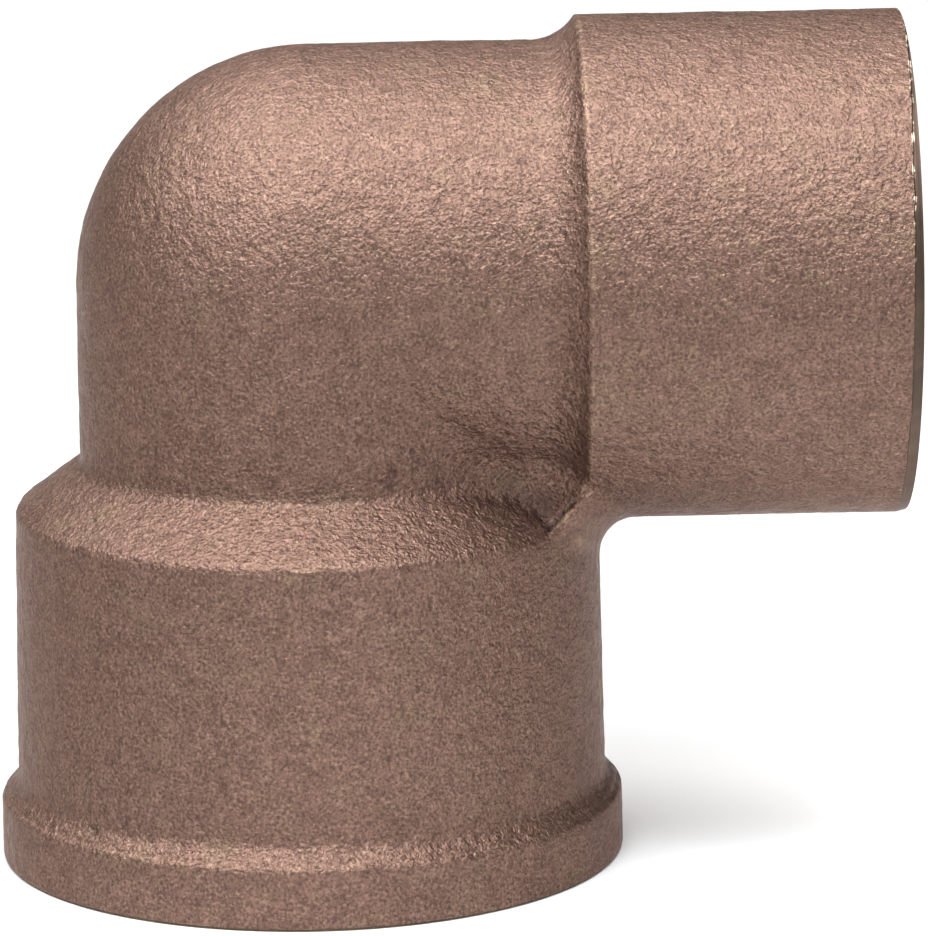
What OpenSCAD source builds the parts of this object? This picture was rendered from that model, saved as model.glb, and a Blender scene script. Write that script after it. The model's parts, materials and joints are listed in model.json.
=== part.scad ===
// Cast bronze 90 degree pipe elbow, nominal 1 1/4 inch: a female pipe thread
// pointing down and a solder cup pointing along +X.
// The real elbow is one casting. It is held here as three sections that meet
// face to face: the threaded socket, the elbow body and the solder cup.
// Origin: centre of the threaded end's face. +Z runs up the thread axis and
// +X runs out along the solder cup's axis.

/* [Layout] */
// Height of the cup axis above the threaded end's face
cup_axis_z = 47.9; // [47:0.1:52]
// Distance from the thread axis to the cup's end face
cup_face_x = 48.2; // [48.2:0.1:54]

/* [Elbow body] */
// Outside diameter of the bend between the two ends
bend_od = 36.7; // [36:0.1:37.4]
// Diameter of the waterway through the bend
waterway_d = 31.6; // [28:0.1:32]

/* [Threaded socket] */
// Outside diameter of the socket just above its band
socket_od = 48.2; // [47.8:0.1:48.6]
// How much smaller the socket's diameter is at the shoulder (casting draft)
socket_draft = 0.8; // [0.2:0.1:1.2]
// Outside diameter of the reinforcing band
band_od = 50.9; // [50.2:0.1:52]
// Height of the band's straight wall
band_h = 5.1; // [4:0.1:6]
// Height where the socket wall starts to round over into the shoulder
shoulder_z = 27.65; // [27:0.05:28]
// Angle of the shoulder's slope above the horizontal
shoulder_angle = 36.5; // [30:0.5:40]

/* [Pipe thread] */
// Thread pitch, 11.5 threads per inch
thread_pitch = 2.209; // [1.8:0.001:2.4]
// Diameter of the drilled hole, which the thread crests share
tap_d = 38.3; // [38.2:0.01:38.5]
// Largest thread root diameter, at the mouth
root_d = 41.9; // [41:0.01:41.95]
// Depth of the tapped thread
thread_len = 17.9; // [14:0.1:18.5]
// Depth of the drilled hole
tap_len = 20.8; // [20:0.1:21.5]
// Depth of the countersink at the mouth
mouth_depth = 1.3; // [0.5:0.1:1.6]

/* [Solder cup] */
// Outside diameter of the cup
cup_od = 40.7; // [40:0.1:41.4]
// Bore of the cup, for tube of 34.92 mm outside diameter
cup_bore_d = 35; // [34.98:0.01:35.2]
// Depth of the cup, from its face to the tube stop
cup_depth = 24.6; // [23:0.1:25]
// Where the cup's step rises to its full diameter
cup_step_x = 22.15; // [21.8:0.05:22.4]

/* [Rounding] */
// Radius of the fillet in the crotch between socket and cup
crotch_fillet = 3.4; // [2.5:0.1:4]
// Radius of the hollow between the bend and the cup's step
step_fillet = 4.1; // [3.5:0.1:4.5]
// Chamfer on the outside edge of both ends
end_chamfer = 0.3; // [0.1:0.05:0.6]

/* [Hidden] */
$fn = 96;
bronze = [0.55, 0.42, 0.36];
eps = 0.01;
overlap = 1;
bend_r = bend_od / 2;
way_r = waterway_d / 2;
band_r = band_od / 2;
cup_r = cup_od / 2;
tap_r = tap_d / 2;
cut_z = 22;
band_fillet_h = 1.9;
band_hollow_angle = 262;
socket_r0 = socket_od / 2;
socket_r1 = socket_r0 - socket_draft / 2;
round_r = 2.4;
shoulder_fillet = 1;
band_steps = 8;
round_steps = 8;
hollow_steps = 6;
step_steps = 10;
thread_taper = 1 / 32;
thread_half_angle = 30;
first_groove_z = 0.75 * thread_pitch;
root_flat = 0.1;
core_r = 18.6;
core_straight_z = 24.5;
core_top_z = 30.2;
stop_x = cup_face_x - cup_depth;
fillet_reach = 12;
fillet_stations = 24;
fillet_arc_points = 9;
fillet_end_share = 0.998;
web_sink = 0.05;
cup_cut_x = 27.5;

// Points of an arc about a centre, from angle a0 to a1, in n steps
function arc(c, r, a0, a1, n) =
    [for (i = [0 : n]) let (a = a0 + (a1 - a0) * i / n) [c[0] + r * cos(a), c[1] + r * sin(a)]];

// Radius of the drafted socket wall at a height
function socket_wall(z) =
    socket_r0 + (socket_r1 - socket_r0) * (z - band_h) / (shoulder_z - band_h);

// The shoulder: rounded edge, straight slope, then a small hollow up to the bend's tube
slope_start = [socket_r1 - round_r * (1 - sin(shoulder_angle)), shoulder_z + round_r * cos(shoulder_angle)];
hollow_c_r = bend_r + shoulder_fillet;
slope_end_r = hollow_c_r - shoulder_fillet * sin(shoulder_angle);
slope_end_z = slope_start[1] + (slope_start[0] - slope_end_r) * tan(shoulder_angle);
hollow_c_z = slope_end_z + shoulder_fillet * cos(shoulder_angle);
shoulder_profile = concat(
    arc([socket_r1 - round_r, shoulder_z], round_r, 0, 90 - shoulder_angle, round_steps),
    arc([hollow_c_r, hollow_c_z], shoulder_fillet, 270 - shoulder_angle, 180, hollow_steps)
);

// The band's top edge falls back to the socket wall along a hollow
band_top_z = band_h + band_fillet_h;
band_hollow_r = band_r - socket_wall(band_top_z);
band_top = arc([band_r, band_top_z], band_hollow_r, band_hollow_angle, 180, band_steps);

// Hollow from the bend's tube up to the cup's step: [radius, distance along X]
step_turn = acos(1 - (cup_r - bend_r) / step_fillet);
step_start_x = cup_step_x - step_fillet * sin(step_turn);
step_profile = arc([bend_r + step_fillet, step_start_x], step_fillet, 180, 180 - step_turn, step_steps);

// The waterway and the cast core behind the thread
module waterway() {
    translate([0, 0, core_top_z - eps])
        cylinder(r = way_r, h = cup_axis_z - core_top_z + eps);
    translate([0, 0, cup_axis_z])
        rotate([0, -45, 0])
            sphere(r = way_r);
    translate([0, 0, cup_axis_z])
        rotate([0, 90, 0])
            cylinder(r = way_r, h = cup_face_x);
}

module socket_core() {
    rotate_extrude()
        polygon([
            [0, cut_z - overlap],
            [core_r, cut_z - overlap],
            [core_r, core_straight_z],
            [way_r, core_top_z],
            [0, core_top_z]
        ]);
}

// One ring groove of the thread, at the root radius for its depth in the taper
module thread_groove(z) {
    root_r = root_d / 2 - z * thread_taper;
    half_w = (root_r - tap_r) * tan(thread_half_angle) + root_flat / 2;
    translate([0, 0, z])
        rotate_extrude()
            polygon([
                [tap_r - overlap, -half_w],
                [tap_r, -half_w],
                [root_r, -root_flat / 2],
                [root_r, root_flat / 2],
                [tap_r, half_w],
                [tap_r - overlap, half_w]
            ]);
}

module thread_bore() {
    translate([0, 0, -overlap])
        cylinder(r = tap_r, h = tap_len + overlap);
    // countersink, so that the pipe starts easily
    translate([0, 0, -eps])
        cylinder(r1 = tap_r + mouth_depth + eps, r2 = tap_r, h = mouth_depth + eps);
    for (z = [first_groove_z : thread_pitch : thread_len])
        thread_groove(z);
}

module threaded_socket() {
    color(bronze)
        difference() {
            rotate_extrude()
                polygon(concat(
                    [[0, 0], [band_r - end_chamfer, 0], [band_r, end_chamfer], [band_r, band_h]],
                    band_top,
                    [[socket_wall(cut_z), cut_z], [0, cut_z]]
                ));
            thread_bore();
            translate([0, 0, tap_len - eps])
                cylinder(r = core_r, h = cut_z - tap_len + overlap);
        }
}

// Rolling-ball fillet between the socket wall and the cup's underside.
// t is the ball centre's place across the elbow; the ball shrinks to both ends.
function ball_r(t) = max(0.2, crotch_fillet * sqrt(1 - pow(t / fillet_reach, 2)));
function ball_c(t, b) = [
    sqrt(pow(socket_r1 + b - web_sink, 2) - t * t),
    t,
    cup_axis_z - sqrt(pow(cup_r + b - web_sink, 2) - t * t)
];
function unit(v) = v / norm(v);
function fillet_ring(t) =
    let (
        b = ball_r(t),
        c = ball_c(t, b),
        to_socket = -unit([c[0], c[1], 0]),
        to_cup = -unit([0, c[1], c[2] - cup_axis_z]),
        y_in = t * socket_r1 / (socket_r1 + b)
    )
    concat(
        [for (i = [0 : fillet_arc_points - 1])
            let (s = i / (fillet_arc_points - 1))
            c + b * unit(to_socket * cos(90 * s) + to_cup * sin(90 * s))],
        [[
            sqrt(pow(socket_r1 - overlap, 2) - y_in * y_in),
            y_in,
            cup_axis_z - sqrt(pow(cup_r - overlap, 2) - y_in * y_in)
        ]]
    );

module crotch_web() {
    m = fillet_arc_points + 1;
    n = fillet_stations;
    rings = [for (i = [0 : n]) fillet_ring(fillet_reach * fillet_end_share * (2 * i / n - 1))];
    polyhedron(
        points = [for (r = rings) each r],
        faces = concat(
            [for (i = [0 : n - 1], j = [0 : m - 1])
                let (k = (j + 1) % m)
                [i * m + j, i * m + k, (i + 1) * m + k]],
            [for (i = [0 : n - 1], j = [0 : m - 1])
                let (k = (j + 1) % m)
                [i * m + j, (i + 1) * m + k, (i + 1) * m + j]],
            [[for (j = [m - 1 : -1 : 0]) j]],
            [[for (j = [0 : m - 1]) n * m + j]]
        )
    );
}

// The bore that holds the tube, from the stop out past the cup's face
module cup_bore() {
    translate([stop_x, 0, cup_axis_z])
        rotate([0, 90, 0])
            cylinder(r = cup_bore_d / 2, h = cup_depth + overlap);
}

module elbow_body() {
    color(bronze)
        difference() {
            union() {
                // top of the socket, the shoulder and the upright tube
                rotate_extrude()
                    polygon(concat(
                        [[0, cut_z], [socket_wall(cut_z), cut_z]],
                        shoulder_profile,
                        [[bend_r, cup_axis_z], [0, cup_axis_z]]
                    ));
                translate([0, 0, cup_axis_z])
                    rotate([0, -45, 0])
                        sphere(r = bend_r);
                // level tube, the hollow that rises to the cup's step, and the cup's root
                translate([0, 0, cup_axis_z])
                    rotate([0, 90, 0])
                        rotate_extrude()
                            polygon(concat(
                                [[0, 0], [bend_r, 0]],
                                step_profile,
                                [[cup_r, cup_cut_x], [0, cup_cut_x]]
                            ));
                crotch_web();
            }
            waterway();
            socket_core();
            cup_bore();
        }
}

module solder_cup() {
    color(bronze)
        difference() {
            translate([0, 0, cup_axis_z])
                rotate([0, 90, 0])
                    rotate_extrude()
                        polygon([
                            [0, cup_cut_x],
                            [cup_r, cup_cut_x],
                            [cup_r, cup_face_x - end_chamfer],
                            [cup_r - end_chamfer, cup_face_x],
                            [0, cup_face_x]
                        ]);
            cup_bore();
        }
}

threaded_socket();
elbow_body();
solder_cup();
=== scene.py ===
import json
import math
from collections import namedtuple

import bpy
import numpy as np
from mathutils import Matrix, Vector


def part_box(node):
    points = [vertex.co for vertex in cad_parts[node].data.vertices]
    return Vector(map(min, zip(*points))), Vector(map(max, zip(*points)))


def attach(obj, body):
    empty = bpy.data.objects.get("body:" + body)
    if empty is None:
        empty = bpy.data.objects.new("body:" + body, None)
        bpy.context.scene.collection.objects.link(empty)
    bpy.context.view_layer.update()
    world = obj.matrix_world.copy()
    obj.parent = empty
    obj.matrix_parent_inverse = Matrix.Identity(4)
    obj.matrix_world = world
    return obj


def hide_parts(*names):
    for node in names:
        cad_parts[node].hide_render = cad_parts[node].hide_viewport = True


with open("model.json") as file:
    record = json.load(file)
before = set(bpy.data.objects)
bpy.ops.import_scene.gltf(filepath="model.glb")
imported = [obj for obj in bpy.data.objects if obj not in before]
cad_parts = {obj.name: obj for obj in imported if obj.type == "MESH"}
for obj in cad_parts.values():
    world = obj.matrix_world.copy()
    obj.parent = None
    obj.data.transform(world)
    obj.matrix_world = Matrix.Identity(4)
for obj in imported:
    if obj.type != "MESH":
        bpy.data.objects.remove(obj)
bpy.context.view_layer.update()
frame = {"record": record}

# The elbow is one sand casting with turned ends, held as three sections that meet face to face.
# Lengths are in millimetres until a mesh is made. +Z is the thread's axis, +X the cup's.
MM = 0.001

# ---------------------------------------------------------------- dimensions, from the frame
socket_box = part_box("threaded_socket")
cup_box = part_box("solder_cup")
mounts = {m["name"]: m for m in frame["record"]["mounts"]}

CUP_AXIS_Z = (cup_box[0][2] + cup_box[1][2]) / 2 / MM
CUP_FACE_X = cup_box[1][0] / MM
CUP_CUT_X = cup_box[0][0] / MM
CUP_R = (cup_box[1][1] - cup_box[0][1]) / 2 / MM
SOCKET_CUT_Z = socket_box[1][2] / MM
BAND_R = socket_box[1][0] / MM
DRILL_R = mounts["thread_port"]["dims"]["r_mm"]
CUP_BORE_R = mounts["cup_port"]["dims"]["r_mm"]
STOP_X = CUP_FACE_X - mounts["cup_port"]["dims"]["length_mm"]

# The cast outside
BEND_R = 18.35
BEND_TURN_R = 0.85
SOCKET_LOW_R, SOCKET_HIGH_R = 24.1, 23.7
SOCKET_LOW_Z, SHOULDER_Z = 5.1, 27.65
SLOPE_R, SLOPE_Z, SLOPE_ANGLE = 22.67, 29.6, math.radians(36.5)
SHOULDER_ROUND, SHOULDER_HOLLOW = 1.0, 1.0
BAND_H, BAND_ROUND, BAND_HOLLOW = 5.35, 0.7, 1.7
STEP_FACE_X, STEP_HOLLOW, STEP_ROUND = 22.73, 4.1, 0.35
CROTCH_HOLLOW, MITRE_HOLLOW = 3.4, 5.0
CROTCH_FROM_X, CROTCH_TO_X = 6.0, 19.0

# The turned edges: a shallow cone at the cup's rim, whose axis is a little off the cup's, and the
# foot's chamfer. The foot shows fresher metal than the same depth of cut does at the rim.
RIM_R, RIM_ANGLE, RIM_REACH = 20.265, math.radians(13), 4.0
RIM_OFFSET_Y, RIM_OFFSET_Z = 0.12, 0.07
FOOT_CHAMFER, FOOT_CHAMFER_SLOPE, FOOT_REACH, FOOT_FRESH = 0.3, 1.2, 1.0, 4.0
SKIN_GAP = 0.01

# The saddle where bend, shoulder and cup meet is softened; its place is the same on both sides
SADDLE = (18.6, 13.3, 29.9)
SADDLE_REACH, SADDLE_ROUNDS = 5.0, 24
SADDLE_CORE = SADDLE_REACH / 3

# Marks of the casting on its -Y side, as (x, z): pits, and a crack with a lip standing up beside it
PITS = [(6.5, 33.8), (6.8, 35.0), (8.3, 36.5), (5.9, 13.3), (-17.5, 6.2)]
# The third number sets how strongly the pits are darkened with grime and painted shade
PIT_R, PIT_DEPTH, PIT_DIRT_AND_SHADE = 0.25, 0.25, 2
CRACK = [(19.0, 29.1), (19.7, 29.8), (20.5, 30.8), (21.3, 31.5), (22.3, 32.3)]
CRACK_W, CRACK_DEPTH, LIP_OFFSET, LIP_HEIGHT = 0.16, 0.16, 0.3, 0.12

# Cast relief as layers of (size, height), from slow lumps down to coarse grains. The skin's relief
# as a whole is sunk a little into the nominal shape, and it is calmer at the rim.
SKIN_LAYERS = [(12, 0.06), (4.5, 0.035), (2.1, 0.025), (1.0, 0.04)]
CORE_LAYERS = [(9, 0.12), (3.1, 0.07), (1.4, 0.05)]
SKIN_SEED, CORE_SEED = 11, 31
SKIN_SINK, RIM_CALM, RIM_CALM_REACH = 0.04, 0.6, 1.0

# The inside
WATERWAY_R, WATERWAY_CORNER = 15.8, 1.2
CORE_R, CORE_STRAIGHT_Z, CORE_TOP_Z = 18.6, 24.5, 30.2
DRILL_Z = 20.8
THREAD_PITCH, THREAD_ROOT_R, THREAD_FLAT, TAPER = 2.209, 20.95, 0.1, 1 / 32
THREAD_HALF_ANGLE = math.radians(30)
THREAD_START, THREAD_END_Z, THREAD_FADE = 1.66, 17.9, 3.0
MOUTH_DEPTH, CUP_MOUTH = 1.3, 0.45

# The lattice that the outside's mesh is made on: stops along X and Z, and the step between each two.
# It is finer at the cup's step, the rim, the foot's edge, the band's top and the shoulder.
STEP, STEP_FINE, STEP_RIM = 0.36, 0.2, 0.12
LATTICE_SIDE, LATTICE_TOP = 26.3, 69.3
STOPS_X = [-LATTICE_SIDE, 18.7, 22.9, CUP_CUT_X, 46.8, CUP_FACE_X]
STEPS_X = [STEP, STEP_FINE, STEP, STEP, STEP_RIM]
STOPS_Z = [0, 0.5, 4.7, 6.1, SOCKET_CUT_Z, 27.8, 32.7, LATTICE_TOP]
STEPS_Z = [STEP_RIM, STEP, STEP_FINE, STEP, STEP, STEP_FINE, STEP]

# How the lattice's points are pulled onto the smooth shape and evened out
SETTLE_ROUNDS, SETTLE_PULLS, LEAST_PULL, RELAX_SHARE = 4, 3, 0.2, 0.5

# How far below and above itself a point of the skin looks, to tell how near an edge or hollow it is
EDGE_REACH, HOLLOW_REACH = 1.2, 2.0

# The inside's mesh: points in a ring, the distance between rings, and how many there are
RING_POINTS, RING_STEP, BEND_SECTIONS, BEND_PIVOT = 192, 0.7, 36, 17.2
CUP_ROOT_RINGS, CUP_RINGS, FLANK_POINTS, HALVINGS = 5, 16, 4, 40

# Corners that round to the same multiple of WELD are one point; FAR is beyond the whole elbow
WELD, KEY_BITS = 1e-4, 21
TINY, TINY_AREA = 1e-9, 1e-12
FAR = 100.0
AXIS_X, AXIS_Z = 0, 2
THREAD_CENTRE, CUP_CENTRE = (0, 0, 0), (0, 0, CUP_AXIS_Z)

# The turned measure of faces that a tool has cut and of faces that it hasn't
CUT, UNCUT = 1.0, -1.0

# Colours of the bronze and the floor, as linear RGB
SKIN_DARK, SKIN_LIGHT = (0.143, 0.077, 0.056), (0.197, 0.111, 0.082)
# The rubbed colour lightens the grain's tops: rubbed metal with painted glints
OLIVE, RUBBED_AND_GLINT, WORN = (0.18, 0.122, 0.075), (0.335, 0.218, 0.166), (0.37, 0.26, 0.165)
# The two grime colours darken the grain's pits and the hollows: grime and painted shade, nearly black
# in the deepest hollows
GRIME_AND_SHADE, DEEP_GRIME_AND_SHADE = (0.050, 0.027, 0.023), (0.012, 0.006, 0.005)
FRESH_DARK, FRESH_LIGHT = (0.24, 0.175, 0.10), (0.36, 0.27, 0.165)
SKIMMED_DARK, SKIMMED_LIGHT = (0.062, 0.040, 0.028), (0.096, 0.062, 0.044)
# Bright flecks on the upper part of the rim: burr with painted glints
BURR_AND_GLINT = (0.75, 0.60, 0.46)
REFLECTION_TINT = (0.7, 0.62, 0.58, 1)
# The floor's lighter colour is painted light under and in front of the cup, where the cup's shadow
# falls
FLOOR_PAINTED_LIGHT, FLOOR_FAR = (0.85, 0.85, 0.85), (0.5, 0.5, 0.5)

# The bronze's roughness, its bump (whose distance is in metres) and where its burr and painted glints
# are
ROUGH_LOW, ROUGH_HIGH, ROUGH_TURNED, WEAR_POLISH = 0.31, 0.45, 0.36, 0.14
GRAIN_HEIGHT, COARSE_HEIGHT, FEED_HEIGHT = 0.5, 0.8, 0.12
BUMP_DISTANCE = 0.0003
BURR_AND_GLINT_FROM_Z, BURR_AND_GLINT_FULL_Z = 48, 56


# ---------------------------------------------------------------- camera
def add_camera(azimuth, elevation, roll, target, distance, focal_length):
    a, e, r = (math.radians(v) for v in (azimuth, elevation, roll))
    back = Vector((math.sin(a) * math.cos(e), -math.cos(a) * math.cos(e), math.sin(e)))
    right = Vector((math.cos(a), math.sin(a), 0))
    up = back.cross(right)
    axis_x = right * math.cos(r) + up * math.sin(r)
    axis_y = up * math.cos(r) - right * math.sin(r)
    camera = bpy.data.objects.new("camera", bpy.data.cameras.new("camera"))
    camera.data.lens = focal_length
    camera.data.clip_start, camera.data.clip_end = 0.01, 20
    turn = Matrix((axis_x, axis_y, back)).transposed().to_4x4()
    camera.matrix_world = Matrix.Translation(Vector(target) + back * distance) @ turn
    bpy.context.scene.collection.objects.link(camera)
    bpy.context.scene.camera = camera


add_camera(
    azimuth=-1.71, elevation=12.72, roll=-0.75,
    target=(0.01278, 0, 0.03136), distance=0.5244, focal_length=248.2,
)


# ---------------------------------------------------------------- distance fields
# A field is (distance, slope): the signed distance to a solid, and the three parts of its gradient.
def scaled(vector, factor):
    return tuple(part * factor for part in vector)


def added(one, other):
    return tuple(p + q for p, q in zip(one, other))


def tube_field(across, radius):
    """A straight tube, ball or bent tube, given the vector from its centreline."""
    length = np.sqrt(sum(part * part for part in across)) + TINY
    return length - radius, scaled(across, 1 / length)


def plane_field(distance, slope):
    return distance, tuple(np.full_like(distance, part) for part in slope)


def join(one, other, r):
    """The union of two solids, with the hollow that a ball of radius r rolls out between them."""
    (a, slope_a), (b, slope_b) = one, other
    # the limits keep the sums below finite where the two surfaces run nearly parallel
    c = np.clip(sum(p * q for p, q in zip(slope_a, slope_b)), -0.99, 0.9999)
    u, v = r - a, r - b
    rolled = (u > c * v) & (v > c * u)
    reach = np.sqrt(np.maximum(u * u + v * v - 2 * u * v * c, TINY) / (1 - c * c))
    distance = np.where(rolled, r - reach, np.minimum(a, b))
    share = 1 / (reach * (1 - c * c))
    from_a = np.where(rolled, (u - c * v) * share, a < b)
    from_b = np.where(rolled, (v - c * u) * share, a >= b)
    return distance, added(scaled(slope_a, from_a), scaled(slope_b, from_b))


def meet(one, other, r):
    """The common part of two solids, with its edge rounded to radius r."""
    (a, slope_a), (b, slope_b) = one, other
    distance, slope = join((-a, scaled(slope_a, -1)), (-b, scaled(slope_b, -1)), r)
    return -distance, scaled(slope, -1)


def smooth_step(low, high, value):
    t = np.clip((value - low) / (high - low), 0, 1)
    return t * t * (3 - 2 * t)


def socket_field(r, z, outward):
    """The socket's drafted wall, sloping shoulder and band."""
    zero = np.zeros_like(r)
    draft = (SOCKET_HIGH_R - SOCKET_LOW_R) / (SHOULDER_Z - SOCKET_LOW_Z)
    wall = r - (SOCKET_LOW_R + draft * (z - SOCKET_LOW_Z)), (*outward, zero)
    lean, rise = math.sin(SLOPE_ANGLE), math.cos(SLOPE_ANGLE)
    slope = (r - SLOPE_R) * lean + (z - SLOPE_Z) * rise, (*scaled(outward, lean), zero + rise)
    socket = meet(wall, slope, SHOULDER_ROUND)
    band = meet((r - BAND_R, (*outward, zero)), plane_field(z - BAND_H, (0, 0, 1)), BAND_ROUND)
    return join(socket, band, BAND_HOLLOW)


def bend_tube_fields(x, y, w):
    """The bend's upright and level tube, which share the small arc that their centreline turns on."""
    turn_x, turn_w = x - BEND_TURN_R, w + BEND_TURN_R
    reach = np.hypot(turn_x, turn_w) + TINY
    on_arc = (turn_x < 0) & (turn_w > 0)
    away = scaled((turn_x, turn_w), 1 - BEND_TURN_R / reach)
    upright_x = np.where(turn_w <= 0, x, np.where(on_arc, away[0], turn_x))
    upright_z = np.where(turn_w <= 0, 0, np.where(on_arc, away[1], w))
    level_x = np.where(turn_x >= 0, 0, np.where(on_arc, away[0], x))
    level_z = np.where(turn_x >= 0, w, np.where(on_arc, away[1], turn_w))
    upright = tube_field((upright_x, y, upright_z), BEND_R)
    level = tube_field((level_x, y, level_z), BEND_R)
    return upright, level


def cast_field(x, y, z):
    """The smooth cast outside; it runs on past both ends, where it is cut off."""
    x, y, z = np.broadcast_arrays(x, y, z)
    r = np.hypot(x, y) + TINY
    w = z - CUP_AXIS_Z
    socket = socket_field(r, z, (x / r, y / r))
    upright, level = bend_tube_fields(x, y, w)
    # the cup rises from the level tube in a hollow step
    level = join(level, plane_field(STEP_FACE_X - x, (-1, 0, 0)), STEP_HOLLOW)
    level = meet(level, tube_field((np.zeros_like(r), y, w), CUP_R), STEP_ROUND)
    # the hollow above the socket widens towards the crotch
    widening = smooth_step(CROTCH_FROM_X, CROTCH_TO_X, x)
    hollow = SHOULDER_HOLLOW + (CROTCH_HOLLOW - SHOULDER_HOLLOW) * widening
    return join(socket, join(upright, level, MITRE_HOLLOW), hollow)


def cast_skin(points):
    """Distance and unit normal of the cast outside at points."""
    distance, slope = cast_field(*points.T)
    slope = np.stack(slope, 1)
    return distance, slope / np.maximum(np.linalg.norm(slope, axis=1, keepdims=True), TINY)


# ---------------------------------------------------------------- noise
NOISE_TABLE, NOISE_GAIN = 256, 1.5


def gradient_noise(p, size, seed):
    """Smooth noise in about -1 to 1 at points p, whose bumps are about `size` mm across."""
    draw = np.random.default_rng(seed)
    table = draw.normal(size=(NOISE_TABLE, 3))
    table /= np.linalg.norm(table, axis=1, keepdims=True)
    shuffle = draw.permutation(NOISE_TABLE)
    q = p / size
    cell = np.floor(q).astype(np.int64)
    f = q - cell
    fade = f * f * f * (f * (f * 6 - 15) + 10)
    total = np.zeros(len(q))
    for corner in np.ndindex(2, 2, 2):
        c = np.array(corner)
        i = (cell + c) % NOISE_TABLE
        pick = shuffle[(shuffle[i[:, 0]] + i[:, 1]) % NOISE_TABLE]
        pick = shuffle[(pick + i[:, 2]) % NOISE_TABLE]
        weight = np.prod(np.where(c, fade, 1 - fade), axis=1)
        total += weight * ((f - c) * table[pick]).sum(1)
    return total * NOISE_GAIN


def layered_noise(p, layers, seed):
    """A sum of noises, each given as (size, height) in mm."""
    return sum(h * gradient_noise(p, size, seed + i) for i, (size, h) in enumerate(layers))


# ---------------------------------------------------------------- the cast outside as a mesh
def lattice_axis(stops, steps, doubled):
    """Lattice planes with their own step between stops. A doubled plane makes a flat ring."""
    values = [stops[0]]
    for low, high, step in zip(stops, stops[1:], steps):
        count = max(1, round((high - low) / step))
        values.extend(np.linspace(low, high, count + 1)[1:])
    return np.sort(np.array(values + doubled))


def crossing_middles(values, axes, cells):
    """In each cell, the middle of the places where the surface crosses the cell's edges."""
    total, count = np.zeros((len(cells), 3)), np.zeros((len(cells), 1))
    for axis in range(3):
        for side in np.ndindex(2, 2):
            i0 = cells + np.insert(side, axis, 0)
            i1 = cells + np.insert(side, axis, 1)
            v0, v1 = values[tuple(i0.T)], values[tuple(i1.T)]
            crossed = (v0 < 0) != (v1 < 0)
            t = (v0[crossed] / (v0[crossed] - v1[crossed]))[:, None]
            p0 = np.stack([axes[a][i0[crossed, a]] for a in range(3)], 1)
            p1 = np.stack([axes[a][i1[crossed, a]] for a in range(3)], 1)
            total[crossed] += p0 + t * (p1 - p0)
            count[crossed] += 1
    return total / count


def surface_net(values, axes):
    """One vertex in each cell that the surface crosses, one quad round each crossed lattice edge."""
    inside = values < 0
    nx, ny, nz = values.shape
    filled = np.zeros((nx - 1, ny - 1, nz - 1), np.int8)
    for dx, dy, dz in np.ndindex(2, 2, 2):
        filled += inside[dx:nx - 1 + dx, dy:ny - 1 + dy, dz:nz - 1 + dz]
    active = (filled > 0) & (filled < 8)
    cells = np.argwhere(active)
    number = np.full(active.shape, -1, np.int32)
    number[active] = np.arange(len(cells))
    quads = []
    for axis in range(3):
        b, c = (axis + 1) % 3, (axis + 2) % 3
        near, far = [slice(None)] * 3, [slice(None)] * 3
        near[axis], far[axis] = slice(None, -1), slice(1, None)
        edge = np.argwhere(inside[tuple(near)] != inside[tuple(far)])
        within = (edge[:, b] > 0) & (edge[:, c] > 0)
        within &= (edge[:, b] < active.shape[b]) & (edge[:, c] < active.shape[c])
        edge = edge[within]
        ring = []
        for db, dc in ((-1, -1), (0, -1), (0, 0), (-1, 0)):
            cell = edge.copy()
            cell[:, b] += db
            cell[:, c] += dc
            ring.append(number[tuple(cell.T)])
        ring = np.stack(ring, 1)
        leaves = inside[tuple(edge.T)]
        ring[~leaves] = ring[~leaves][:, ::-1]
        quads.append(ring)
    return crossing_middles(values, axes, cells), np.concatenate(quads), cells


def vertex_normals(points, faces):
    """Area-weighted normals at the vertices of quads or triangles."""
    corner = [points[faces[:, k]] for k in range(faces.shape[1])]
    if len(corner) == 4:
        flat = np.cross(corner[2] - corner[0], corner[3] - corner[1])
    else:
        flat = np.cross(corner[1] - corner[0], corner[2] - corner[0])
    total = np.zeros_like(points)
    for k in range(faces.shape[1]):
        for axis in range(3):
            total[:, axis] += np.bincount(faces[:, k], flat[:, axis], len(points))
    return total / np.maximum(np.linalg.norm(total, axis=1, keepdims=True), TINY_AREA)


def relax(points, quads, free, share):
    """Moves free vertices towards the middle of their neighbours, so that the quads are even."""
    total, count = np.zeros_like(points), np.zeros(len(points))
    for k in range(4):
        for other in (quads[:, k - 1], quads[:, (k + 1) % 4]):
            for axis in range(3):
                total[:, axis] += np.bincount(quads[:, k], points[other, axis], len(points))
            count += np.bincount(quads[:, k], minlength=len(points))
    middle = total / np.maximum(count, 1)[:, None]
    return points + share * free * (middle - points)


def cast_relief(points):
    """How far the cast skin stands out from its smooth shape."""
    height = layered_noise(points, SKIN_LAYERS, SKIN_SEED)
    calm = smooth_step(CUP_FACE_X - RIM_REACH, CUP_FACE_X - RIM_CALM_REACH, points[:, 0])
    return (height - SKIN_SINK) * (1 - RIM_CALM * calm)


def line_distance(place, line):
    """Distance of points from a line of straight runs."""
    nearest = np.full(len(place), np.inf)
    for start, end in zip(line[:-1], line[1:]):
        run = end - start
        along = np.clip((place - start) @ run / (run @ run), 0, 1)
        distance = np.linalg.norm(place - start - along[:, None] * run, axis=1)
        nearest = np.minimum(nearest, distance)
    return nearest


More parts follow.
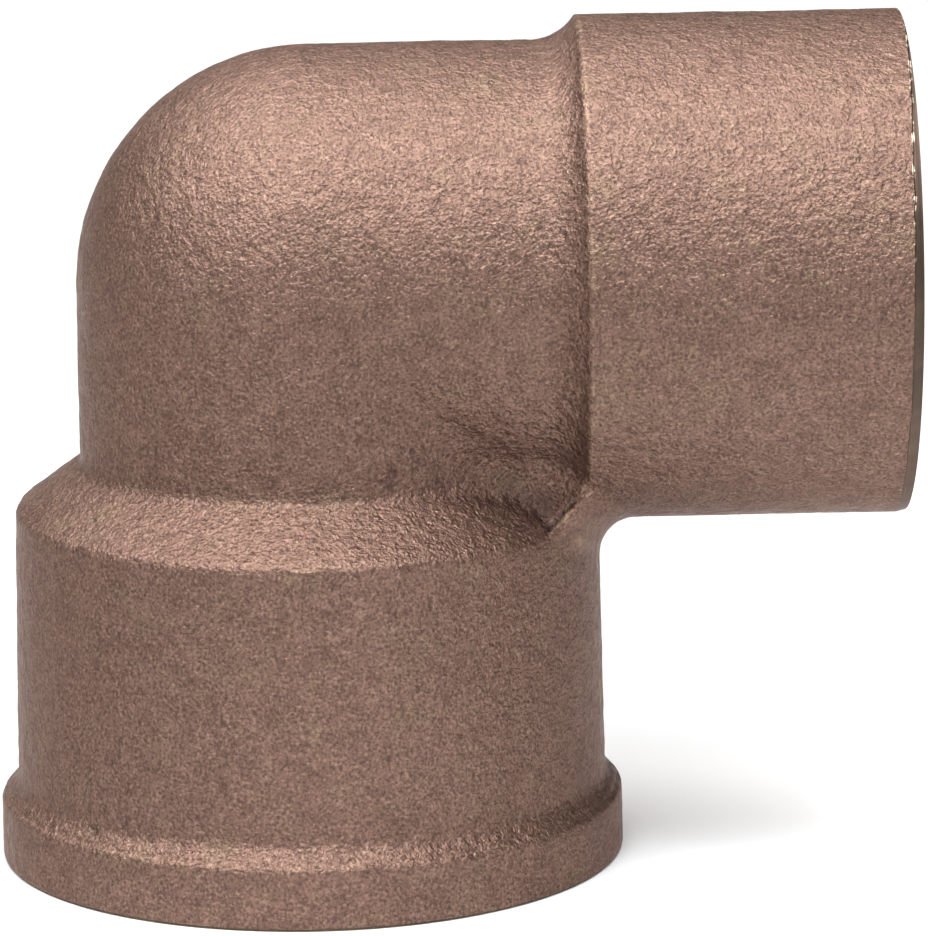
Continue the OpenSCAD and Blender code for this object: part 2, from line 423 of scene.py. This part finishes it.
def casting_marks(points):
    """How strongly each point is part of a pit, of the crack and of the crack's lip, from 0 to 1."""
    place = points[:, [0, 2]]
    near_side = points[:, 1] < 0
    line = np.array(CRACK)
    lip_line = line + LIP_OFFSET * np.array([1, -1]) / math.sqrt(2)
    distances = [
        (np.min([np.linalg.norm(place - pit, axis=1) for pit in PITS], axis=0), PIT_R),
        (line_distance(place, line), CRACK_W),
        (line_distance(place, lip_line), CRACK_W),
    ]
    return [np.exp(-(distance / width) ** 2) * near_side for distance, width in distances]


def on_doubled_plane(cells, axes, axis):
    """Which points lie in the flat cells that a doubled lattice plane makes."""
    layer = cells[:, axis]
    return axes[axis][layer] == axes[axis][layer + 1]


def settled_net(axes):
    """The smooth cast outside: points, quads, cells, and 1 for each way a point may move, else 0."""
    x, y, z = (a.astype(np.float32) for a in axes)
    values = np.stack([cast_field(xi, y[:, None], z[None, :])[0] for xi in x])
    points, quads, cells = surface_net(values, axes)
    free = np.ones_like(points)
    for axis in (AXIS_X, AXIS_Z):
        free[on_doubled_plane(cells, axes, axis), axis] = 0
    loose = np.prod(free, axis=1, keepdims=True)
    for settle_round in range(SETTLE_ROUNDS):
        if settle_round:
            points = relax(points, quads, loose, RELAX_SHARE)
        for _ in range(SETTLE_PULLS):
            distance, normal = cast_skin(points)
            normal = normal * free
            pull = distance / np.maximum((normal * normal).sum(1), LEAST_PULL)
            points -= pull[:, None] * normal
    return points, quads, cells, free


def soften_saddles(points, quads, free):
    """Evens out both saddles. Gives the new points and how soft each one is, from 0 to 1."""
    mirrored = np.stack([points[:, 0], np.abs(points[:, 1]), points[:, 2]], 1)
    soft = smooth_step(SADDLE_REACH, SADDLE_CORE, np.linalg.norm(mirrored - SADDLE, axis=1))
    near = quads[(soft[quads] > 0).any(1)]
    loose = np.prod(free, axis=1, keepdims=True)
    for _ in range(SADDLE_ROUNDS):
        points = relax(points, near, loose * soft[:, None], RELAX_SHARE)
    return points, soft


def turn_rim(points):
    """Cuts points back to the rim's cone. Gives how far outside it each one stood."""
    q = np.stack([points[:, 1] - RIM_OFFSET_Y, points[:, 2] - CUP_AXIS_Z - RIM_OFFSET_Z], 1)
    radius = np.linalg.norm(q, axis=1)
    limit = RIM_R + (CUP_FACE_X - points[:, 0]) * math.tan(RIM_ANGLE)
    depth = np.where(points[:, 0] > CUP_FACE_X - RIM_REACH, radius - limit, UNCUT)
    shrink = np.where(depth > 0, limit / radius, 1)[:, None]
    points[:, 1:] = q * shrink + [RIM_OFFSET_Y, CUP_AXIS_Z + RIM_OFFSET_Z]
    return depth


def turn_foot(points):
    """Cuts points back to the foot's chamfer and the band's radius. Gives the chamfer's depth."""
    radius = np.hypot(points[:, 0], points[:, 1])
    limit = BAND_R - FOOT_CHAMFER + points[:, 2] * FOOT_CHAMFER_SLOPE
    depth = np.where(points[:, 2] < FOOT_REACH, radius - limit, UNCUT)
    limit = np.minimum(limit, BAND_R - SKIN_GAP)
    outside = (radius > limit) & (points[:, 2] < SOCKET_CUT_Z)
    points[:, :2] *= np.where(outside, limit / radius, 1)[:, None]
    return depth


def hold_cup_radius(points):
    """Keeps the cup's skin within its nominal radius."""
    up = points[:, 2] - CUP_AXIS_Z
    radius = np.hypot(points[:, 1], up)
    on_cup = (points[:, 0] > CUP_CUT_X) | ((points[:, 0] > STEP_FACE_X) & (up > 0))
    limit = CUP_R - SKIN_GAP
    shrink = np.where(on_cup & (radius > limit), limit / np.maximum(radius, 1), 1)
    points[:, 1] *= shrink
    points[:, 2] = CUP_AXIS_Z + up * shrink


Skin = namedtuple("Skin", "points quads normals cells axes turned edge hollow")


def make_skin():
    """The whole cast outside: the smooth shape, then its relief and marks, then the turned ends."""
    axes = [
        lattice_axis(STOPS_X, STEPS_X, [CUP_CUT_X, CUP_FACE_X]),
        lattice_axis([-LATTICE_SIDE, LATTICE_SIDE], [STEP], []),
        lattice_axis(STOPS_Z, STEPS_Z, [0, SOCKET_CUT_Z]),
    ]
    points, quads, cells, free = settled_net(axes)
    normal = cast_skin(points)[1]
    edge = cast_skin(points - EDGE_REACH * normal)[0] + EDGE_REACH
    hollow = HOLLOW_REACH - cast_skin(points + HOLLOW_REACH * normal)[0]

    points, soft = soften_saddles(points, quads, free)
    normal = np.where(soft[:, None] > 0, vertex_normals(points, quads), normal)

    pit, crack, lip = casting_marks(points)
    height = cast_relief(points) - PIT_DEPTH * pit - CRACK_DEPTH * crack + LIP_HEIGHT * lip
    points += free * normal * height[:, None]
    edge = edge * (1 - soft) + lip
    # pits and the crack join the hollows, which are painted darker with grime and painted shade
    hollow = hollow + PIT_DIRT_AND_SHADE * pit + crack

    rim = turn_rim(points)
    foot = turn_foot(points)
    hold_cup_radius(points)
    turned = np.maximum(rim, FOOT_FRESH * foot)
    return Skin(points, quads, vertex_normals(points, quads), cells, axes, turned, edge, hollow)


# ---------------------------------------------------------------- patches of a piece's surface
Patch = namedtuple("Patch", "points triangles normals turned edge hollow")


def patch(points, triangles, turned=CUT, flip=False, normals=None, edge=0.0, hollow=0.0):
    """A smooth stretch of surface. turned is above 0 where a tool has cut the metal."""
    if flip:
        triangles = triangles[:, ::-1]
    if normals is None:
        normals = vertex_normals(points, triangles)
    full = [np.broadcast_to(np.asarray(v, float), len(points)) for v in (turned, edge, hollow)]
    return Patch(points, triangles, normals, *full)


def split_quads(points, quads):
    """Triangles that cut each quad along its shorter diagonal."""
    a, b, c, d = (points[quads[:, k]] for k in range(4))
    first = np.linalg.norm(a - c, axis=1) <= np.linalg.norm(b - d, axis=1)
    one = np.where(first[:, None], quads[:, [0, 1, 2]], quads[:, [0, 1, 3]])
    two = np.where(first[:, None], quads[:, [0, 2, 3]], quads[:, [1, 2, 3]])
    return np.concatenate([one, two])


def tube(rings, turned=CUT):
    """The wall through rings that run from the threaded end to the cup, seen from inside."""
    rings = np.asarray(rings)
    n, m = rings.shape[:2]
    i, j = np.meshgrid(np.arange(n - 1), np.arange(m), indexing="ij")
    k = (j + 1) % m
    quads = np.stack([i * m + j, i * m + k, (i + 1) * m + k, (i + 1) * m + j], -1).reshape(-1, 4)
    points = rings.reshape(-1, 3)
    return patch(points, split_quads(points, quads), turned)


def annulus(outer, inner, centre, axis, facing, turned=CUT):
    """A flat face between two loops of points round a centre, facing along +axis or -axis."""
    b, c = (axis + 1) % 3, (axis + 2) % 3
    loops = []
    for loop in (outer, inner):
        angle = np.arctan2(loop[:, c] - centre[c], loop[:, b] - centre[b])
        order = np.argsort(angle)
        # each loop's angles run on for one more point, a full turn after its first
        loops.append((loop[order], np.append(angle[order], angle[order[0]] + 2 * math.pi)))
    (outer, outer_angle), (inner, inner_angle) = loops
    n, m = len(outer), len(inner)
    triangles, i, j = [], 0, 0
    while i < n or j < m:
        if j == m or (i < n and outer_angle[i + 1] <= inner_angle[j + 1]):
            triangles.append([i % n, (i + 1) % n, n + j % m])
            i += 1
        else:
            triangles.append([i % n, n + (j + 1) % m, n + j % m])
            j += 1
    points = np.concatenate([outer, inner])
    normals = np.zeros_like(points)
    normals[:, axis] = facing
    return patch(points, np.array(triangles), turned, flip=facing < 0, normals=normals)


# ---------------------------------------------------------------- the inside
RING = 2 * math.pi * np.arange(RING_POINTS) / RING_POINTS


def upright_ring(z, r):
    """A ring round the thread's axis; r may differ from point to point."""
    return np.stack([-r * np.cos(RING), r * np.sin(RING), np.broadcast_to(z, RING.shape)], 1)


def level_ring(x, r):
    """A ring round the cup's axis."""
    place = np.broadcast_to(x, RING.shape)
    return np.stack([place, r * np.sin(RING), CUP_AXIS_Z + r * np.cos(RING)], 1)


def waterway(x, y, z):
    """Signed distance of the cast waterway, whose inside corner is rounded."""
    up = tube_field((x, y, np.maximum(z - CUP_AXIS_Z, 0)), WATERWAY_R)
    along = tube_field((np.minimum(x, 0), y, z - CUP_AXIS_Z), WATERWAY_R)
    return join(up, along, WATERWAY_CORNER)[0]


def bend_rings():
    """Sections of the waterway on planes that turn about a line inside the corner's metal."""
    rings = []
    pivot = np.array([BEND_PIVOT, 0, CUP_AXIS_Z - BEND_PIVOT])
    for turn in np.linspace(0, math.pi / 2, BEND_SECTIONS):
        out = np.array([-math.cos(turn), 0, math.sin(turn)])
        centre = pivot + out * BEND_PIVOT / max(math.cos(turn), math.sin(turn))
        ray = np.cos(RING)[:, None] * out + np.sin(RING)[:, None] * np.array([0, 1, 0])
        low, high = np.zeros(RING_POINTS), np.full(RING_POINTS, 2.0 * WATERWAY_R)
        for _ in range(HALVINGS):
            middle = (low + high) / 2
            inside = waterway(*(centre + middle[:, None] * ray).T) < 0
            low, high = np.where(inside, middle, low), np.where(inside, high, middle)
        rings.append((centre, centre + low[:, None] * ray))
    return rings


def core_relief(centre, ring):
    """A ring with the sand core's roughness, each point moved towards or away from the centre."""
    out = ring - centre
    out /= np.linalg.norm(out, axis=1, keepdims=True)
    height = layered_noise(ring, CORE_LAYERS, CORE_SEED)
    return ring + out * height[:, None]


def thread_radius(z, ring_angle):
    """Radius of the tapped hole at a height: a right-hand taper thread behind a countersink."""
    start = THREAD_START + THREAD_PITCH * (math.pi - ring_angle) / (2 * math.pi)
    off = np.abs((z - start + THREAD_PITCH / 2) % THREAD_PITCH - THREAD_PITCH / 2)
    fade = 1 - smooth_step(THREAD_END_Z - THREAD_FADE, THREAD_END_Z, z)
    root = DRILL_R + (THREAD_ROOT_R - z * TAPER - DRILL_R) * fade
    groove = root - np.maximum(off - THREAD_FLAT / 2, 0) / math.tan(THREAD_HALF_ANGLE)
    return np.maximum(np.maximum(groove, DRILL_R), DRILL_R + MOUTH_DEPTH - z)


def real_triangles(points, triangles):
    """The triangles that have an area."""
    a, b, c = (points[triangles[:, k]] for k in range(3))
    return triangles[np.linalg.norm(np.cross(b - a, c - a), axis=1) > TINY]


def threaded_wall():
    """The tapped hole as strips that run along the helix, so that crests and roots stay sharp."""
    slant = THREAD_FLAT / 2 + (THREAD_ROOT_R - DRILL_R) * math.tan(THREAD_HALF_ANGLE)
    flank = np.linspace(THREAD_FLAT / 2, slant, FLANK_POINTS)
    offsets = [-THREAD_FLAT / 2, *flank, *(THREAD_PITCH - flank[:0:-1])]
    # rows run past both ends of the hole, as each one drops by a pitch in its turn
    turns = range(-3, math.ceil(DRILL_Z / THREAD_PITCH) + 2)
    rows = np.array([THREAD_START + THREAD_PITCH * t + o for t in turns for o in offsets])
    z = np.clip(rows[:, None] - THREAD_PITCH * (RING / (2 * math.pi) - 0.5), 0, DRILL_Z)
    r = thread_radius(z, RING)
    grid = np.stack([-r * np.cos(RING), r * np.sin(RING), z], -1)
    strips = np.concatenate([grid[:-1], grid[1:]], axis=1)
    n, m, lead = len(strips), RING_POINTS, len(offsets)
    i, j = np.meshgrid(np.arange(lead, n), np.arange(m), indexing="ij")
    low = i * 2 * m + j
    # a strip's last column meets the first column of the strip one turn before
    next_low = (i - lead * ((j + 1) // m)) * 2 * m + (j + 1) % m
    quads = np.stack([low, next_low, next_low + m, low + m], -1).reshape(-1, 4)
    points = strips.reshape(-1, 3)
    return patch(points, real_triangles(points, split_quads(points, quads)))


def ramp_rings(make_ring, centre, stops):
    """Cast rings between stops given as (place, radius), eased from one radius to the next."""
    rings = []
    for (p0, r0), (p1, r1) in zip(stops, stops[1:]):
        count = max(1, round(abs(p1 - p0) / RING_STEP))
        for k in range(count + 1):
            t = k / count
            place = p0 + (p1 - p0) * t
            ring = make_ring(place, r0 + (r1 - r0) * smooth_step(0, 1, t))
            rings.append(core_relief(centre(place), ring))
    return rings


def on_upright(z):
    return np.array([0, 0, z])


def on_level(x):
    return np.array([x, 0, CUP_AXIS_Z])


# ---------------------------------------------------------------- pieces
def skin_loop(skin, axis, place):
    """The skin's flat ring at a doubled lattice plane."""
    planes = skin.axes[axis][skin.cells[:, axis]]
    here = np.abs(planes - place) < TINY
    return skin.points[on_doubled_plane(skin.cells, skin.axes, axis) & here]


def skin_patch(skin, low_z, high_z, low_x, high_x):
    """The skin's quads between lattice planes, with normals that run on across the planes."""
    plane_x, plane_z = skin.axes[AXIS_X], skin.axes[AXIS_Z]
    cell_x, cell_z = skin.cells[:, AXIS_X], skin.cells[:, AXIS_Z]
    within = (plane_z[cell_z] >= low_z) & (plane_z[cell_z + 1] <= high_z)
    within &= (plane_x[cell_x] >= low_x) & (plane_x[cell_x + 1] <= high_x)
    triangles = split_quads(skin.points, skin.quads[within[skin.quads].all(1)])
    return patch(
        skin.points, triangles, skin.turned,
        normals=skin.normals, edge=skin.edge, hollow=skin.hollow,
    )


def weld(corners):
    """One corner for each place, and for each triangle the places of its three corners."""
    key = np.round(corners / WELD).astype(np.int64) + (1 << (KEY_BITS - 1))
    key = (key[:, 0] << 2 * KEY_BITS) | (key[:, 1] << KEY_BITS) | key[:, 2]
    _, first, index = np.unique(key, return_index=True, return_inverse=True)
    return first, index.reshape(-1, 3)


def open_edges(triangles, point_count):
    """How many edges don't belong to exactly two triangles."""
    pairs = [triangles[:, [0, 1]], triangles[:, [1, 2]], triangles[:, [2, 0]]]
    edges = np.sort(np.concatenate(pairs), 1)
    uses = np.unique(edges[:, 0] * point_count + edges[:, 1], return_counts=True)[1]
    return int((uses != 2).sum())


def make_piece(name, patches, material):
    """One closed mesh from patches that share their border points exactly."""
    corners = np.concatenate([p.points[p.triangles].reshape(-1, 3) for p in patches])
    normals = np.concatenate([p.normals[p.triangles] for p in patches])
    first, triangles = weld(corners)
    whole = (triangles != np.roll(triangles, 1, axis=1)).all(1)
    triangles = triangles[whole]
    print(name, len(triangles), "triangles,", open_edges(triangles, len(first)), "open edges")

    mesh = bpy.data.meshes.new(name)
    mesh.vertices.add(len(first))
    mesh.vertices.foreach_set("co", (corners[first] * MM).astype(np.float32).ravel())
    mesh.loops.add(triangles.size)
    mesh.loops.foreach_set("vertex_index", triangles.astype(np.int32).ravel())
    mesh.polygons.add(len(triangles))
    mesh.polygons.foreach_set("loop_start", np.arange(0, triangles.size, 3, dtype=np.int32))
    mesh.update(calc_edges=True)
    for measure in ("turned", "edge", "hollow"):
        values = np.concatenate([getattr(p, measure)[p.triangles] for p in patches])
        attribute = mesh.attributes.new(measure, "FLOAT", "CORNER")
        attribute.data.foreach_set("value", values[whole].astype(np.float32).ravel())
    mesh.normals_split_custom_set(normals[whole].reshape(-1, 3))
    mesh.materials.append(material)
    piece = bpy.data.objects.new(name, mesh)
    bpy.context.scene.collection.objects.link(piece)
    return piece


def socket_patches(skin):
    """The threaded socket: its outside, end face, tapped hole and core, and its cut at the top."""
    mouth = upright_ring(0, thread_radius(np.zeros(RING_POINTS), RING))
    core = ramp_rings(upright_ring, on_upright, [(DRILL_Z, CORE_R), (SOCKET_CUT_Z, CORE_R)])
    cut_loop = skin_loop(skin, AXIS_Z, SOCKET_CUT_Z)
    return [
        skin_patch(skin, 0, SOCKET_CUT_Z, -FAR, FAR),
        annulus(skin_loop(skin, AXIS_Z, 0), mouth, THREAD_CENTRE, AXIS_Z, -1),
        threaded_wall(),
        tube([upright_ring(DRILL_Z, DRILL_R), core[0]]),
        tube(core, turned=UNCUT),
        annulus(cut_loop, core[-1], THREAD_CENTRE, AXIS_Z, 1, turned=UNCUT),
    ]


def body_patches(skin):
    """The elbow body: its outside, core, waterway and tube stop, and its two cuts."""
    upright = ramp_rings(upright_ring, on_upright, [
        (SOCKET_CUT_Z, CORE_R),
        (CORE_STRAIGHT_Z, CORE_R),
        (CORE_TOP_Z, WATERWAY_R),
        (CUP_AXIS_Z - BEND_PIVOT - RING_STEP / 2, WATERWAY_R),
    ])
    bend = [core_relief(centre, ring) for centre, ring in bend_rings()]
    level = ramp_rings(level_ring, on_level, [
        (BEND_PIVOT + RING_STEP / 2, WATERWAY_R),
        (STOP_X, WATERWAY_R),
    ])
    cut_loop = skin_loop(skin, AXIS_Z, SOCKET_CUT_Z)
    cup_cut_loop = skin_loop(skin, AXIS_X, CUP_CUT_X)
    cup_root = [level_ring(x, CUP_BORE_R) for x in np.linspace(STOP_X, CUP_CUT_X, CUP_ROOT_RINGS)]
    return [
        skin_patch(skin, SOCKET_CUT_Z, FAR, -FAR, CUP_CUT_X),
        annulus(cut_loop, upright[0], THREAD_CENTRE, AXIS_Z, -1, turned=UNCUT),
        tube(upright + bend + level, turned=UNCUT),
        tube([level[-1], cup_root[0]]),
        tube(cup_root),
        annulus(cup_cut_loop, cup_root[-1], CUP_CENTRE, AXIS_X, 1),
    ]


def cup_patches(skin):
    """The solder cup: its outside, bore, mouth and end face, and its cut."""
    mouth_x, mouth_r = CUP_FACE_X - CUP_MOUTH, CUP_BORE_R + CUP_MOUTH
    mouth = level_ring(CUP_FACE_X, mouth_r)
    bore = [level_ring(x, CUP_BORE_R) for x in np.linspace(CUP_CUT_X, mouth_x, CUP_RINGS)]
    return [
        skin_patch(skin, SOCKET_CUT_Z, FAR, CUP_CUT_X, FAR),
        annulus(skin_loop(skin, AXIS_X, CUP_CUT_X), bore[0], CUP_CENTRE, AXIS_X, -1),
        tube(bore),
        tube([bore[-1], mouth]),
        annulus(skin_loop(skin, AXIS_X, CUP_FACE_X), mouth, CUP_CENTRE, AXIS_X, 1),
    ]


def build_pieces(material):
    skin = make_skin()
    socket = make_piece("threaded_socket_casting", socket_patches(skin), material)
    body = make_piece("elbow_body_casting", body_patches(skin), material)
    cup = make_piece("solder_cup_casting", cup_patches(skin), material)
    for piece, node in ((socket, "threaded_socket"), (body, "elbow_body"), (cup, "solder_cup")):
        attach(piece, "root")
        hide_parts(node)


# ---------------------------------------------------------------- materials
class Graph:
    """A small helper for making a material's nodes."""

    def __init__(self, name):
        self.material = bpy.data.materials.new(name)
        self.material.use_nodes = True
        self.tree = self.material.node_tree
        self.tree.nodes.clear()

    def add(self, kind, inputs=None, **settings):
        node = self.tree.nodes.new("ShaderNode" + kind)
        for key, value in settings.items():
            setattr(node, key, value)
        for key, value in (inputs or {}).items():
            if isinstance(value, bpy.types.NodeSocket):
                self.tree.links.new(value, node.inputs[key])
            else:
                node.inputs[key].default_value = value
        return node

    def math(self, operation, a, b=0.0):
        return self.add("Math", {0: a, 1: b}, operation=operation).outputs[0]

    def measure(self, name):
        """One of the measures that the mesh carries."""
        return self.add("Attribute", attribute_name=name).outputs["Fac"]

    def noise(self, place, size, detail, rough):
        """Noise in 0 to 1 whose bumps are about `size` mm across."""
        inputs = {"Vector": place, "Scale": 1 / size, "Detail": detail, "Roughness": rough}
        return self.add("TexNoise", inputs).outputs["Fac"]

    def band(self, value, low, high, out_low=0.0, out_high=1.0):
        """A value eased from out_low, where it is low, to out_high, where it is high."""
        inputs = {
            "Value": value, "From Min": low, "From Max": high,
            "To Min": out_low, "To Max": out_high,
        }
        return self.add("MapRange", inputs, interpolation_type="SMOOTHSTEP").outputs["Result"]

    def mix(self, share, a, b):
        """A mix of two colours, of which b has the share."""
        made = self.add("Mix", data_type="RGBA")
        for index, value in ((0, share), (6, a), (7, b)):
            if isinstance(value, bpy.types.NodeSocket):
                self.tree.links.new(value, made.inputs[index])
            else:
                made.inputs[index].default_value = value if index == 0 else (*value, 1)
        return made.outputs[2]


def skin_color(g, mm, grain, hollow, wear):
    """The cast skin: mottled and grainy, darker in the grain's pits and in the hollows with grime and
    painted shade, lighter on the grain's tops where they are rubbed and carry painted glints, and
    rubbed bright on the edges.
    """
    mottle = g.band(g.noise(mm, size=1.6, detail=4, rough=0.65), 0.3, 0.7)
    color = g.mix(mottle, SKIN_DARK, SKIN_LIGHT)
    olive = g.band(g.noise(mm, size=3.5, detail=4, rough=0.6), 0.5, 0.72, 0, 0.45)
    color = g.mix(olive, color, OLIVE)
    # the grain's dips are darker with grime and painted shade, its tops lighter where rubbed and with
    # painted glints
    color = g.mix(g.band(grain, 0.51, 0.36, 0, 0.7), color, GRIME_AND_SHADE)
    color = g.mix(g.band(grain, 0.54, 0.68, 0, 0.6), color, RUBBED_AND_GLINT)
    # darker in the hollows, pits and crack: grime and painted shade, nearly black in the deepest
    color = g.mix(g.band(hollow, 0.15, 1.1, 0, 0.6), color, GRIME_AND_SHADE)
    color = g.mix(g.band(hollow, 1.2, 2.0), color, DEEP_GRIME_AND_SHADE)
    return g.mix(wear, color, WORN)


def turned_color(g, mm, turned):
    """Fresh metal where the tool cut deep, darker where it only skimmed the skin."""
    tint = g.band(g.noise(mm, size=2.5, detail=3, rough=0.6), 0.3, 0.7)
    fresh = g.mix(tint, FRESH_DARK, FRESH_LIGHT)
    skimmed = g.mix(tint, SKIMMED_DARK, SKIMMED_LIGHT)
    return g.mix(g.band(turned, 0.3, 0.7), skimmed, fresh)


def burr_and_glint_share(g, mm, turned):
    """Bright flecks where the turned strip begins, on the upper part of the cup's rim: burr, with
    painted glints where the light falls from above.
    """
    border = g.math("MULTIPLY", g.band(turned, -0.03, 0.0), g.band(turned, 0.05, 0.02))
    height = g.add("SeparateXYZ", {0: mm}).outputs["Z"]
    # only on the upper part of the rim, where the light falls: painted glints with the burr
    border = g.math("MULTIPLY", border, g.band(height, BURR_AND_GLINT_FROM_Z, BURR_AND_GLINT_FULL_Z))
    flecks = g.band(g.noise(mm, size=0.9, detail=2, rough=0.6), 0.51, 0.61)
    return g.math("MULTIPLY", border, flecks)


def fine_relief(g, mm, grain, is_turned):
    """Height for the bump: sand grain on the skin, and the tool's feed lines where it is turned."""
    coarse = g.noise(mm, size=0.72, detail=2, rough=0.55)
    coarse = g.math("MULTIPLY", coarse, COARSE_HEIGHT)
    sand = g.math("ADD", g.math("MULTIPLY", grain, GRAIN_HEIGHT), coarse)
    place = g.add("VectorMath", {0: mm, 1: CUP_CENTRE}, operation="SUBTRACT").outputs["Vector"]
    xyz = g.add("SeparateXYZ", {0: place}).outputs
    radius = g.math("SQRT", g.math("ADD", g.math("POWER", xyz[1], 2), g.math("POWER", xyz[2], 2)))
    feed = {"W": g.math("ADD", radius, xyz[0]), "Scale": 5.0, "Detail": 3.0}
    lines = g.add("TexNoise", feed, noise_dimensions="1D").outputs["Fac"]
    lines = g.math("MULTIPLY", lines, FEED_HEIGHT)
    return g.add("Mix", {0: is_turned, 2: sand, 3: lines}).outputs[0]


def bronze_material():
    """Sand-cast bronze, and the same metal turned wherever the turned measure is above 0."""
    g = Graph("cast_bronze")
    place = g.add("TexCoord").outputs["Object"]
    mm = g.add("VectorMath", {0: place, 3: 1 / MM}, operation="SCALE").outputs["Vector"]
    turned = g.measure("turned")
    is_turned = g.band(turned, 0.0, 0.02)
    grain = g.noise(mm, size=0.25, detail=3, rough=0.6)
    wear = g.band(g.noise(mm, size=1.1, detail=4, rough=0.65), 0.42, 0.62)
    wear = g.math("MULTIPLY", g.band(g.measure("edge"), 0.08, 0.42, 0, 0.7), wear)

    color = skin_color(g, mm, grain, g.measure("hollow"), wear)
    color = g.mix(is_turned, color, turned_color(g, mm, turned))
    # burr flecks with painted glints on the rim's upper part
    color = g.mix(burr_and_glint_share(g, mm, turned), color, BURR_AND_GLINT)

    rough = g.noise(mm, size=1.3, detail=3, rough=0.6)
    rough = g.band(rough, 0.3, 0.7, ROUGH_LOW, ROUGH_HIGH)
    rough = g.math("SUBTRACT", rough, g.math("MULTIPLY", wear, WEAR_POLISH))
    rough = g.add("Mix", {0: is_turned, 2: rough, 3: ROUGH_TURNED}).outputs[0]

    height = fine_relief(g, mm, grain, is_turned)
    bump = g.add("Bump", {"Strength": 1.0, "Distance": BUMP_DISTANCE, "Height": height})
    shader = g.add("BsdfPrincipled", {
        "Base Color": color, "Metallic": 0.8, "Roughness": rough,
        "Normal": bump.outputs["Normal"], "IOR": 2.3, "Specular Tint": REFLECTION_TINT,
    })
    g.add("OutputMaterial", {"Surface": shader.outputs[0]})
    return g.material


def floor_material():
    """A pale floor with painted light, brightest under the cup and in front of it, where the cup's
    shadow falls and which the cup's underside reflects.
    """
    g = Graph("pale_floor")
    place = g.add("TexCoord").outputs["Object"]
    painted_light_centre = (0.03, -0.02, 0)
    away = g.add("VectorMath", {0: place, 1: painted_light_centre}, operation="DISTANCE").outputs["Value"]
    # painted light: lighter near the cup, paler grey further away
    color = g.mix(g.band(away, 0.035, 0.07), FLOOR_PAINTED_LIGHT, FLOOR_FAR)
    shader = g.add("BsdfPrincipled", {"Base Color": color, "Roughness": 0.9})
    g.add("OutputMaterial", {"Surface": shader.outputs[0]})
    return g.material


# ---------------------------------------------------------------- floor and lights, in metres
def add_floor(size):
    mesh = bpy.data.meshes.new("floor")
    corners = [(-size, -size, 0), (size, -size, 0), (size, size, 0), (-size, size, 0)]
    mesh.from_pydata(corners, [], [(0, 1, 2, 3)])
    mesh.materials.append(floor_material())
    floor = bpy.data.objects.new("floor", mesh)
    bpy.context.scene.collection.objects.link(floor)


def add_light(name, place, aim, size, power, color):
    light = bpy.data.lights.new(name, "AREA")
    light.shape = "RECTANGLE"
    light.size, light.size_y = size
    light.energy, light.color = power, color
    lamp = bpy.data.objects.new(name, light)
    lamp.location = place
    lamp.rotation_mode = "QUATERNION"
    lamp.rotation_quaternion = (Vector(aim) - Vector(place)).to_track_quat("-Z", "Y")
    bpy.context.scene.collection.objects.link(lamp)


def add_world(overhead, around, rise, dim_sides):
    """White surroundings, brightest overhead and dimmer on the sides where the studio is open.

    rise is where, from 0 at the horizon to 1 overhead, the light starts to rise and where it is
    full. A dim side is (direction, where it starts to dim, where it is dimmest, the share left).
    """
    world = bpy.data.worlds.new("studio")
    world.use_nodes = True
    nodes, links = world.node_tree.nodes, world.node_tree.links
    place = nodes.new("ShaderNodeTexCoord").outputs["Generated"]

    def ramp(direction, low, high, out_low, out_high):
        facing = nodes.new("ShaderNodeVectorMath")
        facing.operation = "DOT_PRODUCT"
        facing.inputs[1].default_value = Vector(direction).normalized()
        links.new(place, facing.inputs[0])
        made = nodes.new("ShaderNodeMapRange")
        made.interpolation_type = "SMOOTHSTEP"
        made.inputs["From Min"].default_value = low
        made.inputs["From Max"].default_value = high
        made.inputs["To Min"].default_value = out_low
        made.inputs["To Max"].default_value = out_high
        links.new(facing.outputs["Value"], made.inputs["Value"])
        return made.outputs["Result"]

    strength = ramp((0, 0, 1), *rise, around, overhead)
    for side, low, high, share_left in dim_sides:
        total = nodes.new("ShaderNodeMath")
        total.operation = "MULTIPLY"
        links.new(strength, total.inputs[0])
        links.new(ramp(side, low, high, 1, share_left), total.inputs[1])
        strength = total.outputs[0]
    background = nodes["Background"]
    background.inputs["Color"].default_value = (1, 1, 1, 1)
    links.new(strength, background.inputs["Strength"])
    bpy.context.scene.world = world


build_pieces(bronze_material())
add_floor(size=6.0)
add_world(
    overhead=3.35, around=0.38, rise=(0.2, 0.9),
    dim_sides=[((1, 0.5, -0.2), 0.0, 0.6, 0.12), ((-1, 0.6, -0.2), 0.4, 0.9, 0.7)],
)
add_light(
    name="key", place=(-0.06, -0.18, 0.515), aim=(0.012, 0, 0.034), size=(0.5, 0.11),
    power=2.35, color=(0.93, 1.0, 1.04),
)
bpy.context.scene.view_settings.view_transform = "Standard"
